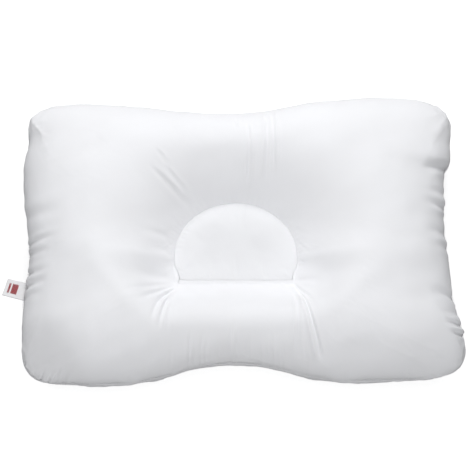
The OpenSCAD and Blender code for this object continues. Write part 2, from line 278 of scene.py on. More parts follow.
def face_outwards(mesh):
    work = bmesh.new()
    work.from_mesh(mesh)
    bmesh.ops.recalc_face_normals(work, faces=work.faces)
    work.to_mesh(mesh)
    work.free()
    mesh.update()


def add_piece(name, replaces, points, faces, finish, turn_out=True):
    """A smooth piece of the pillow, with its (material, slot) finish and its CAD piece; the slot is
    not used.
    """
    ob = add_mesh(name, uneven(points), faces)
    ob.data.polygons.foreach_set("use_smooth", np.ones(len(ob.data.polygons), bool))
    if turn_out:
        face_outwards(ob.data)
    material, slot = finish
    ob.data.materials.append(material)
    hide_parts(replaces)
    return ob


def grid_faces(columns, rows, base=0, wrap=True, flip=False):
    """Quads of a grid whose point (row, i) is base + row * columns + i; columns may wrap."""
    i = np.arange(columns if wrap else columns - 1)
    j = (i + 1) % columns
    row = np.arange(rows - 1)[:, None] * columns
    corners = [row + i, row + j, row + columns + j, row + columns + i]
    quads = np.stack(corners, -1).reshape(-1, 4) + base
    return (quads[:, ::-1] if flip else quads).tolist()


def fan(first, count, centre, flip=False):
    """Triangles from a closed row of points, starting at first, to one centre point."""
    faces = [[first + i, first + (i + 1) % count, centre] for i in range(count)]
    return [[j, i, hub] for i, j, hub in faces] if flip else faces


def shell_faces(columns, rows):
    """Two open grids, stored one after the other, joined all round their borders."""
    other = columns * rows
    faces = grid_faces(columns, rows, wrap=False)
    faces += grid_faces(columns, rows, other, wrap=False, flip=True)
    border = [(row * columns + i, row * columns + i + 1)
              for row in (0, rows - 1) for i in range(columns - 1)]
    border += [(row * columns + i, (row + 1) * columns + i)
               for i in (0, columns - 1) for row in range(rows - 1)]
    return faces + [[start, end, other + end, other + start] for start, end in border]


def closed_sheet(outer, inner, joins=(0, -1)):
    """Cloth with thickness, from an outer grid and an inner one with half its columns.

    The rows named in joins are bridged with triangles."""
    columns, half = outer.shape[1], inner.shape[1]
    base = outer.shape[0] * columns
    faces = grid_faces(columns, outer.shape[0])
    faces += grid_faces(half, inner.shape[0], base, flip=True)
    i = np.arange(half)
    for row in joins:
        out_row = row % outer.shape[0] * columns
        in_row = base + row % inner.shape[0] * half
        left, mid, right = (out_row + (2 * i + step) % columns for step in range(3))
        below, beside = in_row + i, in_row + (i + 1) % half
        for corners in ((left, mid, below), (mid, beside, below), (mid, right, beside)):
            faces += np.stack(corners if row == 0 else corners[::-1], -1).tolist()
    return np.concatenate([outer.reshape(-1, 3), inner.reshape(-1, 3)]), faces


def merged(parts):
    """Joins (points, faces) pairs into one."""
    points, faces, count = [], [], 0
    for part_points, part_faces in parts:
        points.append(part_points)
        faces += [[index + count for index in face] for face in part_faces]
        count += len(part_points)
    return np.concatenate(points), faces


def unit(vectors):
    return vectors / np.maximum(np.linalg.norm(vectors, axis=-1, keepdims=True), 1e-9)


def right_of(tangents):
    """Unit vectors to the right of plan tangents."""
    return unit(np.stack([tangents[:, 1], -tangents[:, 0]], -1))


def plan_out(plan):
    """Outward directions of a closed anticlockwise plan line."""
    return right_of(np.roll(plan, -1, 0) - np.roll(plan, 1, 0))


def at_height(plan, z):
    return np.column_stack([plan, np.broadcast_to(z, len(plan))])


def doubled_rows(values):
    """Row values for a grid that refine() has doubled."""
    count = len(values)
    return np.interp(np.arange(2 * count - 1) / 2, np.arange(count), values)


def refine(grid):
    """Doubles a grid both ways with cubic midpoints; columns wrap."""
    middles = (-np.roll(grid, 1, 1) + 9 * grid + 9 * np.roll(grid, -1, 1)
               - np.roll(grid, -2, 1)) / 16
    wide = np.empty((grid.shape[0], grid.shape[1] * 2, 3))
    wide[:, 0::2], wide[:, 1::2] = grid, middles
    padded = np.concatenate([2 * wide[:1] - wide[1:2], wide, 2 * wide[-1:] - wide[-2:-1]])
    middles = (-padded[:-3] + 9 * padded[1:-2] + 9 * padded[2:-1] - padded[3:]) / 16
    full = np.empty((wide.shape[0] * 2 - 1, wide.shape[1], 3))
    full[0::2], full[1::2] = wide, middles
    return full


def grid_normals(grid):
    """Outward normals of a cover grid, for rows that run down the top or under the bottom."""
    across = np.roll(grid, -1, 1) - np.roll(grid, 1, 1)
    return unit(np.cross(np.gradient(grid, axis=0), across))


def averaged(grid, times, rows=True):
    """Averages a grid with its neighbours; columns wrap, end rows blend only along themselves."""
    grid = grid.copy()
    for _ in range(times):
        mixed = (np.roll(grid, 1, 1) + 2 * grid + np.roll(grid, -1, 1)) / 4
        if rows:
            grid[1:-1] = (mixed[:-2] + 2 * mixed[1:-1] + mixed[2:]) / 4
            grid[0], grid[-1] = mixed[0], mixed[-1]
        else:
            grid = mixed
    return grid


# ---------------------------------------------------------------- surface relief
def waves(points, seed, size):
    """Smooth seeded unevenness of roughly unit height and the given wavelength."""
    count, spread = 28, 0.5
    rng = np.random.default_rng(seed)
    total = np.zeros(points.shape[:-1])
    for _ in range(count):
        heading = rng.normal(size=points.shape[-1])
        heading /= np.linalg.norm(heading)
        wavelength = size * math.exp(rng.uniform(-spread, spread))
        total += np.sin(points @ heading * TAU / wavelength + rng.uniform(0, TAU))
    return total / math.sqrt(count / 2)


def ripple(angle, count, sway, beat, phase):
    """Irregular ripples: count of them per turn, swaying and fading at slower rates."""
    return np.sin(angle * count + 2 * np.sin(angle * sway)) * np.sin(angle * beat + phase)


def crease(x, y, points, width, depth, ridge, side, fade_in, fade_out):
    """Height change for one fold along a line: a valley, with a soft ridge on one side."""
    # a smooth curve through the points
    points = np.asarray(points, float)
    last = len(points) - 1
    position = np.linspace(0, last, 8 * last + 1)
    i = np.clip(position.astype(int), 0, last - 1)
    part = (position - i)[:, None]
    before, here, after, beyond = (points[np.clip(i + step, 0, last)] for step in (-1, 0, 1, 2))
    line = 0.5 * (2 * here + (after - before) * part
                  + (2 * before - 5 * here + 4 * after - beyond) * part ** 2
                  + (3 * here - before - 3 * after + beyond) * part ** 3)
    # only the points within reach of it are moved
    reach = 5 * width
    low, high = line.min(0) - reach, line.max(0) + reach
    change = np.zeros(x.shape)
    near = (x > low[0]) & (x < high[0]) & (y > low[1]) & (y < high[1])
    plan = np.stack([x[near], y[near]], -1)
    steps = line[1:] - line[:-1]
    lengths = np.linalg.norm(steps, axis=1)
    starts = np.concatenate([[0], np.cumsum(lengths)])
    distance = np.full(len(plan), 1e9)
    hand = np.ones(len(plan))          # 1 to the left of the line, -1 to its right
    along = np.zeros(len(plan))
    for k in range(len(steps)):
        heading = steps[k] / lengths[k]
        offset = plan - line[k]
        travel = np.clip(offset @ heading, 0, lengths[k])
        away = offset - travel[:, None] * heading
        gap = np.hypot(away[:, 0], away[:, 1])
        closer = gap < distance
        turn = np.sign(heading[0] * offset[:, 1] - heading[1] * offset[:, 0])
        distance = np.where(closer, gap, distance)
        hand = np.where(closer, turn, hand)
        along = np.where(closer, (starts[k] + travel) / starts[-1], along)
    fade = ease(along / fade_in) * ease((1 - along) / fade_out)
    spread = width * (0.75 + 0.5 * along)
    valley = np.exp(-(distance / spread) ** 2)
    bank = (np.exp(-((distance - 1.9 * spread) / (1.1 * spread)) ** 2)
            * np.where(hand * side > 0, 1.0, 0.25))
    change[near] = fade * depth * (-valley + ridge * bank)
    return change


# ---------------------------------------------------------------- cover shape before the cloth step
COLUMNS = 384
TOP_ROWS = 48
CURVE_ROWS, FLAT_ROWS, MIDDLE_ROWS = 18, 12, 9     # under the bottom, from the seam inwards
TURNS = np.arange(COLUMNS) / COLUMNS
FINE_TURNS = np.arange(2 * COLUMNS) / (2 * COLUMNS)

EDGE = at_height(np.stack(outline(TURNS), -1), SEAM_Z)
RIM = at_height(np.stack(cradle_line(TURNS), -1), SEAM_Z)
EDGE_OUT, RIM_OUT = plan_out(EDGE[:, :2]), plan_out(RIM[:, :2])
FINE_EDGE_OUT, FINE_RIM_OUT = np.repeat(EDGE_OUT, 2, 0), np.repeat(RIM_OUT, 2, 0)

# upper cover, from the cradle line (share 0) to the seam (share 1)
TOP_SHARE = 0.5 * (1 - np.cos(np.pi * (np.arange(TOP_ROWS + 1) / TOP_ROWS) ** 0.92))


def top_grid():
    plan = RIM[:, :2] + (EDGE - RIM)[:, :2] * TOP_SHARE[:, None, None]
    grid = np.concatenate([plan, top_z(plan[..., 0], plan[..., 1])[..., None]], -1)
    grid[[0, -1], :, 2] = SEAM_Z
    return grid


# lower cover: the curve, the flat in to the cradle line, and on to the cradle's middle
FLAT_IN = 1 - (1 - np.arange(1, FLAT_ROWS + 1) / FLAT_ROWS) ** 1.5
MIDDLE_IN = (np.arange(1, MIDDLE_ROWS + 1) / MIDDLE_ROWS * 0.94) ** 1.6
CURVE_TURN = np.pi / 2 * np.arange(CURVE_ROWS + 1) / CURVE_ROWS
CURVE_SHARE = 1 - (1 - FLAT_SHARE) * (1 - np.cos(CURVE_TURN))
BOTTOM_SHARE = np.concatenate([CURVE_SHARE, FLAT_SHARE - 0.3 * FLAT_IN,
                               FLAT_SHARE - 0.3 - 0.3 * MIDDLE_IN])


def bottom_grid():
    edge, rim = EDGE[:, :2], RIM[:, :2]
    flat_in, middle_in = FLAT_IN[:, None, None], MIDDLE_IN[:, None, None]
    plan = np.concatenate([edge * CURVE_SHARE[:, None, None],
                           (edge * FLAT_SHARE) * (1 - flat_in) + rim * flat_in,
                           rim * (1 - middle_in) + MIDDLE * middle_in])
    grid = np.concatenate([plan, bottom_z(plan[..., 0], plan[..., 1])[..., None]], -1)
    grid[0, :, 2] = SEAM_Z
    grid[BOTTOM_SHARE <= FLAT_SHARE + 1e-9, :, 2] = 0
    return grid


# ---------------------------------------------------------------- cloth step
CLOTH_FRAMES = 18
MOVE_LIMIT = 6.0            # mm; larger moves are eased down to this
CLOTH_SETTINGS = dict(
    quality=5, mass=0.2,
    tension_stiffness=18, compression_stiffness=18, shear_stiffness=6, bending_stiffness=0.12,
    tension_damping=8, compression_damping=8, shear_damping=8, air_damping=3,
    vertex_group_mass="pin",
    use_pressure=True, uniform_pressure_force=3.0,
    shrink_min=-0.012)      # a little more cloth than the seams allow


def simulate(top, bottom):
    """Blows the cover up as cloth, so that it gathers along its seams.

    Returns the change of the top and bottom grids."""
    top_rows, under_rows = top.shape[0], bottom.shape[0] - 1      # the seam row is shared
    last = (top_rows - 1) * COLUMNS
    first = top_rows * COLUMNS
    end = first + (under_rows - 1) * COLUMNS
    hub, foot = first + under_rows * COLUMNS, first + under_rows * COLUMNS + 1
    points = np.concatenate([top.reshape(-1, 3), bottom[1:].reshape(-1, 3),
                             [[0, -ARC_SHIFT, SEAM_Z], [*MIDDLE, 0]]])
    i = np.arange(COLUMNS)
    j = (i + 1) % COLUMNS
    faces = grid_faces(COLUMNS, top_rows)
    faces += np.stack([last + i, last + j, first + j, first + i], -1).tolist()
    faces += grid_faces(COLUMNS, under_rows, first)
    faces += [[hub, k, (k + 1) % COLUMNS] for k in range(COLUMNS)]
    faces += fan(end, COLUMNS, foot)
    ob = add_mesh("cloth_step", points, faces)

    # held: the cradle seam, the perimeter seam, the flat on the table and both centres
    held = np.zeros(len(points), bool)
    held[:COLUMNS] = held[last:first] = True
    held[first:hub] = np.repeat(BOTTOM_SHARE[1:] <= FLAT_SHARE + 0.012, COLUMNS)
    held[hub:] = True
    ob.vertex_groups.new(name="pin").add(np.flatnonzero(held).tolist(), 1.0, "REPLACE")

    cloth = ob.modifiers.new("Cloth", "CLOTH")
    for key, value in CLOTH_SETTINGS.items():
        setattr(cloth.settings, key, value)
    cloth.settings.effector_weights.gravity = 0
    cloth.collision_settings.use_collision = False
    cloth.collision_settings.use_self_collision = False
    cloth.point_cache.frame_start, cloth.point_cache.frame_end = 1, CLOTH_FRAMES
    for step in range(1, CLOTH_FRAMES + 1):
        bpy.context.scene.frame_set(step)
    blown = ob.evaluated_get(bpy.context.evaluated_depsgraph_get())
    coords = np.zeros(len(points) * 3)
    blown.data.vertices.foreach_get("co", coords)
    bpy.context.scene.frame_set(1)
    bpy.data.objects.remove(ob)

    change = coords.reshape(-1, 3) / MM - points
    size = np.linalg.norm(change, axis=1, keepdims=True)
    change *= np.tanh(size / MOVE_LIMIT) * MOVE_LIMIT / np.maximum(size, 1e-6)
    return (change[:first].reshape(top_rows, COLUMNS, 3),
            np.concatenate([change[last:first], change[first:hub]]).reshape(-1, COLUMNS, 3))


def blown_covers():
    """The top and bottom grids, gathered by the cloth step."""
    top, bottom = top_grid(), bottom_grid()
    top_change, bottom_change = simulate(top, bottom)
    # the gathers along the seams are kept, fainter away from them, and a little of the
    # even swelling
    close = (0.12 + 0.48 * np.exp(-((1 - TOP_SHARE) / 0.18) ** 2)
             + 0.3 * np.exp(-(TOP_SHARE / 0.12) ** 2))[:, None, None]
    top = top + ((top_change - averaged(top_change, 50, rows=False)) * close
                 + averaged(top_change, 90) * 0.15)
    bottom = bottom + ((bottom_change - averaged(bottom_change, 50, rows=False)) * 0.6
                       + averaged(bottom_change, 40) * 0.25)
    bottom[..., 2] = np.maximum(bottom[..., 2], 0)
    return top, bottom


TOP, BOTTOM = blown_covers()


# ---------------------------------------------------------------- material helpers
def feed(tree, inputs, values):
    """Links the inputs that are given a socket, and sets the others."""
    for key, value in values.items():
        if isinstance(value, bpy.types.NodeSocket):
            tree.links.new(value, inputs[key])
        else:
            inputs[key].default_value = value


def node(tree, kind, inputs=None, **settings):
    made = tree.nodes.new(kind)
    for key, value in settings.items():
        setattr(made, key, value)
    feed(tree, made.inputs, inputs or {})
    return made


def new_material(name):
    """A material's name becomes the material, its tree, its shader and object coordinates."""
    material = bpy.data.materials.new(name)
    material.use_nodes = True
    tree = material.node_tree
    coords = node(tree, "ShaderNodeTexCoord").outputs["Object"]
    return material, tree, tree.nodes["Principled BSDF"], coords


def noise(tree, coords, **inputs):
    return node(tree, "ShaderNodeTexNoise", {"Vector": coords, **inputs}).outputs["Fac"]


def bands(tree, coords, direction, inputs):
    return node(tree, "ShaderNodeTexWave", {"Vector": coords, **inputs},
                wave_type="BANDS", bands_direction=direction).outputs["Fac"]


def mapped(tree, coords, **inputs):
    return node(tree, "ShaderNodeMapping", {"Vector": coords, **inputs}).outputs["Vector"]


def remap(tree, value, limits, **settings):
    return node(tree, "ShaderNodeMapRange", {"Value": value, **limits},
                **settings).outputs["Result"]


def color_mix(tree, factor, first, second, **settings):
    """Mix node in colour mode: its colours are inputs 6 and 7 and output 2."""
    return node(tree, "ShaderNodeMix", {0: factor, 6: first, 7: second},
                data_type="RGBA", **settings).outputs[2]


def weave(tree, coords, pitch, angle):
    """Over-and-under plain weave as a height from 0 to 1; pitch in metres."""
    turned = mapped(tree, coords, Rotation=(0, 0, angle))
    inputs = {"Scale": 1 / pitch / 3.1416 * 0.5, "Distortion": 0.6, "Detail": 1.0,
              "Detail Scale": 0.6}
    warp, weft = (bands(tree, turned, axis, inputs) for axis in ("X", "Y"))
    return node(tree, "ShaderNodeMath", {0: warp, 1: weft}, operation="MULTIPLY").outputs[0]


def tone_and_relief(tree, shader, color, dark, tone, height, strength, depth):
    """Mixes the colour with a darker share of it by tone, and raises a bump from height."""
    darker = (*[channel * dark for channel in color], 1)
    bump = node(tree, "ShaderNodeBump",
                {"Strength": strength, "Distance": depth, "Height": height})
    feed(tree, shader.inputs, {"Base Color": color_mix(tree, tone, darker, (*color, 1)),
                               "Normal": bump.outputs["Normal"]})


# ---------------------------------------------------------------- materials
def cloth_material(name, color, shade, pitch=0.00055, angle=0.0, rough=0.86, relief=0.00012):
    """Woven cotton: fine weave, slubs, faint cloudy tone, soft sheen at grazing angles."""
    material, tree, shader, coords = new_material(name)
    clouds = noise(tree, coords, Scale=9.0, Detail=3.0, Roughness=0.55)
    slubs = noise(tree, mapped(tree, coords, Scale=(1.0, 0.22, 1.0)),
                  Scale=420.0, Detail=2.0, Roughness=0.6)
    threads = weave(tree, coords, pitch, angle)
    # tone: cloudy mottling and a little darkening between the threads
    cloudy = remap(tree, clouds, {"From Min": 0.30, "From Max": 0.62})
    tone = color_mix(tree, cloudy, (*shade, 1), (*color, 1))
    tone = color_mix(tree, 0.05, tone, threads, blend_type="MULTIPLY")
    roughness = remap(tree, slubs, {"To Min": rough - 0.05, "To Max": rough + 0.06})
    # relief: the threads with their slubs, over soft rumple too shallow to model
    height = node(tree, "ShaderNodeMath", {0: slubs, 1: 0.9, 2: threads},
                  operation="MULTIPLY_ADD").outputs[0]
    bump = node(tree, "ShaderNodeBump",
                {"Strength": 0.35, "Distance": relief, "Height": height})
    rumple = noise(tree, coords, Scale=55.0, Detail=3.0, Roughness=0.5)
    rumple_bump = node(tree, "ShaderNodeBump",
                       {"Strength": 0.16, "Distance": 0.0010, "Height": rumple})
    feed(tree, bump.inputs, {"Normal": rumple_bump.outputs["Normal"]})
    feed(tree, shader.inputs, {
        "Base Color": tone, "Roughness": roughness, "Sheen Weight": 0.22,
        "Sheen Roughness": 0.45, "Specular IOR Level": 0.22, "Normal": bump.outputs["Normal"]})
    return material


def thread_material(name, color):
    """Twisted thread with fine diagonal bands."""
    material, tree, shader, coords = new_material(name)
    twist = bands(tree, coords, "DIAGONAL", {"Scale": 900.0, "Distortion": 1.5})
    tone_and_relief(tree, shader, color, dark=0.86, tone=twist, height=twist,
                    strength=0.5, depth=0.0001)
    feed(tree, shader.inputs, {"Roughness": 0.5, "Sheen Weight": 0.3})
    return material


def fibre_material(name, color):
    """Loose polyester staple: tangled fine fibres."""
    material, tree, shader, coords = new_material(name)
    tangle = noise(tree, coords, Scale=160.0, Detail=6.0, Roughness=0.7, Distortion=2.4)
    clumps = noise(tree, coords, Scale=22.0, Detail=2.0, Roughness=0.5)
    tone_and_relief(tree, shader, color, dark=0.80, tone=tangle, height=tangle,
                    strength=0.8, depth=0.0015)
    roughness = remap(tree, clumps, {"To Min": 0.8, "To Max": 1.0})
    feed(tree, shader.inputs, {"Roughness": roughness, "Sheen Weight": 0.5})
    return material


def ribbon_material(name, color, pitch=0.0006, angle=0.0):
    """Woven satin ribbon with fine cross ribs; pitch in metres."""
    material, tree, shader, coords = new_material(name)
    ribs = bands(tree, mapped(tree, coords, Rotation=(0, 0, angle)), "X",
                 {"Scale": 1 / pitch / 6.283, "Distortion": 0.3})
    mottle = noise(tree, coords, Scale=260.0, Detail=2.0)
    tone_and_relief(tree, shader, color, dark=0.90, tone=mottle, height=ribs,
                    strength=0.5, depth=0.00015)
    feed(tree, shader.inputs, {"Roughness": 0.52, "Sheen Weight": 0.15})
    return material


# each finish is a material and the slot it fills
COVER = cloth_material("cotton_cover", color=(0.845, 0.850, 0.872),
                       shade=(0.825, 0.828, 0.848)), "cover_fabric"
# the cradle panel is the cover's cotton painted a little darker: painted shade for the sunken
# cradle
PANEL = cloth_material("cotton_cradle_painted_shade", color=(0.800, 0.805, 0.825),
                       shade=(0.785, 0.790, 0.808), pitch=0.0005, angle=0.5), "cradle_fabric"
BAFFLE = cloth_material("calico_baffle", color=(0.74, 0.73, 0.70), shade=(0.68, 0.67, 0.64),
                        pitch=0.0008, rough=0.92, relief=0.0002), "baffle_fabric"
THREAD = thread_material("cotton_thread", color=(0.83, 0.835, 0.855)), "thread"
FIBRE = fibre_material("polyester_staple", color=(0.90, 0.90, 0.90)), "fibre_fill"
RIBBON = ribbon_material("satin_ribbon", color=(0.76, 0.755, 0.765)), "label_ribbon"
MARK = ribbon_material("woven_red", color=(0.40, 0.070, 0.080),
                       pitch=0.0005, angle=0.8), "label_mark"


# ---------------------------------------------------------------- folds in the upper cover
# each: plan points, half width, depth, ridge's share of the depth, side of the ridge
# (1 is left of the line's direction), shares of its length that fade in and out
FOLDS = [
    # fan from the cradle's left front corner
    ([(-90, -52), (-120, -54), (-166, -58)], 6.0, 0.8, 0.4, 1, 0.15, 0.6),
    ([(-92, -60), (-124, -74), (-160, -86)], 4.0, 1.2, 0.5, 1, 0.1, 0.5),
    ([(-90, -62), (-112, -82), (-134, -100)], 3.4, 1.9, 0.5, 1, 0.12, 0.5),
    ([(-88, -66), (-104, -96), (-116, -132)], 3.0, 2.2, 0.5, 1, 0.12, 0.5),
    ([(-90, -84), (-98, -108), (-105, -142)], 2.6, 1.6, 0.5, 1, 0.2, 0.5),
    ([(-86, -82), (-90, -112), (-94, -150)], 2.6, 0.7, 0.4, 1, 0.2, 0.5),
    # fan from the right front corner, with one long crisp fold
    ([(88, -60), (93, -90), (102, -128), (114, -179)], 2.3, 2.6, 0.7, -1, 0.35, 0.12),
    ([(88, -60), (98, -84), (105, -112)], 2.8, 1.2, 0.5, -1, 0.12, 0.5),
    ([(82, -70), (84, -112), (81, -176)], 2.4, 1.3, 0.6, -1, 0.3, 0.3),
    ([(90, -54), (108, -58), (126, -66)], 4.0, 0.6, 0.4, -1, 0.1, 0.6),
    # behind the left of the arc
    ([(-122, 98), (-94, 75), (-60, 50)], 3.8, 1.3, 0.6, 1, 0.35, 0.25),
    ([(-100, 98), (-82, 80), (-64, 62)], 3.0, 0.8, 0.6, 1, 0.3, 0.3),
    ([(-112, 120), (-102, 108), (-94, 98)], 2.6, 0.6, 0.6, 1, 0.3, 0.3),
    # fine folds across the crown behind the arc
    ([(42, 176), (44, 140), (43, 108), (42, 82)], 2.2, 1.0, 1.2, -1, 0.08, 0.25),
    ([(52, 176), (53, 140), (52, 104), (51, 84)], 2.2, 1.0, 1.2, 1, 0.08, 0.25),
    ([(16, 164), (19, 130), (18, 100), (17, 76)], 1.9, 1.3, 0.7, 1, 0.12, 0.3),
    ([(-1, 172), (0, 160), (1, 148)], 1.9, 0.7, 0.7, 1, 0.15, 0.4),
    # left end
    ([(-299, -9), (-278, -5), (-244, -2)], 3.4, 1.8, 0.6, 1, 0.03, 0.6),
    ([(-299, -22), (-280, -22), (-256, -20)], 4.0, 1.7, 0.5, 1, 0.03, 0.6),
    ([(-299, -48), (-282, -50), (-258, -46)], 4.5, 2.4, 0.5, 1, 0.03, 0.6),
    ([(-300, -68), (-284, -64), (-260, -60)], 5.5, 3.2, 0.5, 1, 0.03, 0.6),
    ([(-302, -84), (-286, -80), (-266, -78)], 4.5, 1.6, 0.4, 1, 0.03, 0.6),
    ([(-300, 30), (-268, 32), (-226, 36)], 9.0, 1.6, 0.3, 1, 0.05, 0.6),
    # right end, with the deep pull behind the middle
    ([(306, 103), (290, 100), (264, 94)], 5.0, 3.6, 0.35, 1, 0.01, 0.6),
    ([(304, 66), (286, 66), (260, 62)], 5.5, 1.8, 0.4, 1, 0.03, 0.6),
    ([(303, 46), (285, 48), (258, 52)], 5.0, 2.8, 0.5, 1, 0.03, 0.6),
    ([(300, 6), (284, 8), (256, 8)], 6.0, 2.0, 0.4, 1, 0.03, 0.6),
    ([(301, -14), (286, -12), (262, -10)], 5.0, 1.2, 0.4, 1, 0.03, 0.6),
    ([(303, -84), (286, -80), (258, -76)], 6.5, 3.2, 0.4, 1, 0.03, 0.6),
    ([(304, -106), (290, -107), (272, -106)], 4.5, 1.6, 0.4, 1, 0.03, 0.6),
    ([(306, -124), (292, -124), (274, -120)], 4.0, 3.2, 0.6, 1, 0.02, 0.6),
    ([(306, -138), (294, -138), (280, -135)], 3.5, 2.4, 0.6, -1, 0.02, 0.6),
    # left of the cradle, short pulls
    ([(-92, 4), (-114, 8), (-138, 6)], 5.0, 0.6, 0.4, 1, 0.15, 0.6),
    ([(-92, -16), (-110, -14), (-130, -16)], 5.0, 0.6, 0.4, 1, 0.15, 0.6),
]
# fine gathers across the front seam: x, how far back they run, depth before scaling
FRONT_GATHERS = (
    (-88, 40, 0.7), (-63, 56, 0.8), (-57, 30, 0.5), (-46, 48, 0.8), (-40, 40, 0.6),
    (-24, 30, 0.4), (-6, 66, 0.8), (1, 34, 0.6), (16, 40, 0.5), (32, 30, 0.5), (48, 44, 0.6),
    (63, 36, 0.5), (95, 50, 0.6), (128, 26, 0.5), (146, 24, 0.5), (-122, 28, 0.4),
    (-150, 24, 0.4), (215, 16, 0.5), (228, 18, 0.6), (246, 18, 0.6), (-262, 20, 1.8),
    (-250, 26, 1.4), (-274, 24, 2.0), (-238, 18, 1.0))


def front_gather(x, length, depth):
    """A gather as a fold; those across the neck roll are deeper."""
    start = -float(half_depth(x, -1.0)) - 1
    points = [(x, start), (x * 0.99, start + length * 0.5), (x * 0.97 + 1, start + length)]
    scale = 2.1 if abs(x) < 70 else 1.3
    return points, 1.6, depth * scale, 0.6, 1 if x % 2 else -1, 0.04, 0.7


FOLDS += [front_gather(*gather) for gather in FRONT_GATHERS]


def edge_gathers(turn):
    """Irregular gathering round the perimeter, a sum of 26 waves in a slow envelope."""
    rng = np.random.default_rng(11)
    total = np.zeros_like(turn)
    for _ in range(26):
        count = int(rng.integers(30, 110))
        total += np.sin(TAU * count * turn + rng.uniform(0, TAU))
    envelope = 0.55 + 0.45 * np.sin(TAU * 5 * turn + 1.0) * np.sin(TAU * 8 * turn + 0.4)
    return total / math.sqrt(13) * envelope


GATHERS = edge_gathers(FINE_TURNS)


def seam_gathers(grid, near_rows):
    """The gathers near the perimeter seam, fuller at the ends and the middle of the front."""
    x, y, z = np.moveaxis(grid, -1, 0)
    near = np.exp(-((SEAM_Z - z) / 17.0) ** 2) * near_rows[:, None]
    amount = (0.45 + 0.75 * ease((np.abs(x) - 230) / 60)
              + 0.4 * hump(np.abs(x) / 130) * (y < 0))
    return GATHERS * near * amount * 0.32


def add_top_relief(grid, share):
    """Adds lumps, gathers and folds to the upper cover's refined grid."""
    x, y = grid[..., 0], grid[..., 1]
    above = grid[..., 2] - SEAM_Z
    height = waves(grid, 5, 95.0) * 0.38 + waves(grid, 7, 38.0) * 0.16
    height += seam_gathers(grid, share > 0.5)
    # the left front corner is gathered hardest
    tip = ease((-x - 200) / 60) * ease((-y - 118) / 50)
    height += 0.5 * GATHERS * tip * np.exp(-(above / 26.0) ** 2)
    height += (0.8 * ripple(TAU * FINE_TURNS, count=150, sway=31, beat=47, phase=1.0)
               * tip * np.exp(-((above - 10) / 12.0) ** 2))
    distance = outside_cradle(x, y)
    height *= ease(distance / 10)
    # tiny gathers along the cradle seam
    pucker = ripple(np.arctan2(y + ARC_SHIFT, x), count=61, sway=7, beat=23, phase=1.3)
    height += 0.12 * pucker * np.exp(-((distance - 5) / 5) ** 2) * (y > -CRADLE_FRONT)
    height += sum(crease(x, y, *fold) for fold in FOLDS) * ease(distance / 3 + 0.2)
    return grid + grid_normals(grid) * height[..., None]


# ---------------------------------------------------------------- covers
def pull_in(grid, near_rows):
    """Draws the rows near the perimeter seam inwards, so that the covers meet in a groove."""
    grid = grid.copy()
    pull = GROOVE * np.exp(-np.abs(grid[..., 2] - SEAM_Z) / 3.2) * near_rows[:, None]
    grid[..., :2] -= pull[..., None] * EDGE_OUT
    return grid


def flap(row, out, *steps):
    """Copies of a row; each step is (shift along out, height above the seam)."""
    copies = np.repeat(row[None], len(steps), 0)
    for copy, (shift, rise) in zip(copies, steps):
        copy[:, :2] += out * shift
        copy[:, 2] = SEAM_Z + rise
    return copies


def put_on_seam(row, inset, rise):
    """Lays a grid row along the perimeter seam."""
    row[:, :2] = EDGE[:, :2] - inset * EDGE_OUT
    row[:, 2] = SEAM_Z + rise


def upper_cover():
    """Returns the upper cover's inner face, then its points and faces."""
    grid = pull_in(TOP, TOP_SHARE > 0.6)
    put_on_seam(grid[-1], GROOVE, 0.35)
    grid[0, :, :2] = RIM[:, :2] + 0.03 * RIM_OUT
    grid[0, :, 2] = SEAM_Z - 0.2
    face = add_top_relief(refine(grid), doubled_rows(TOP_SHARE))
    face[-1, :, 2] = SEAM_Z + 0.35
    face[..., 2] = np.maximum(face[..., 2], SEAM_Z - 0.3)
    outer = np.concatenate([
        flap(face[0], FINE_RIM_OUT, (0.15, -TURNED), (0.12, -3.0)), face,
        flap(face[-1], FINE_EDGE_OUT, (-2.2, 0.25), (-ALLOWANCE, 0.25))])

    lining = face[::2, ::2] - grid_normals(face)[::2, ::2] * CLOTH
    lining[0, :, :2] = RIM[:, :2] + 1.5 * RIM_OUT
    lining[0, :, 2] = SEAM_Z + 0.6
    put_on_seam(lining[-1], 3.4, 1.1)
    lining[1:-1, :, 2] = np.maximum(lining[1:-1, :, 2], SEAM_Z + 0.8)
    inner = np.concatenate([
        flap(lining[0], RIM_OUT, (-0.3, -TURNED), (-0.3, -3.0)), lining,
        flap(lining[-1], EDGE_OUT, (-1.6, 1.05), (-ALLOWANCE + 0.8, 1.05))])
    return lining, *closed_sheet(outer, inner)


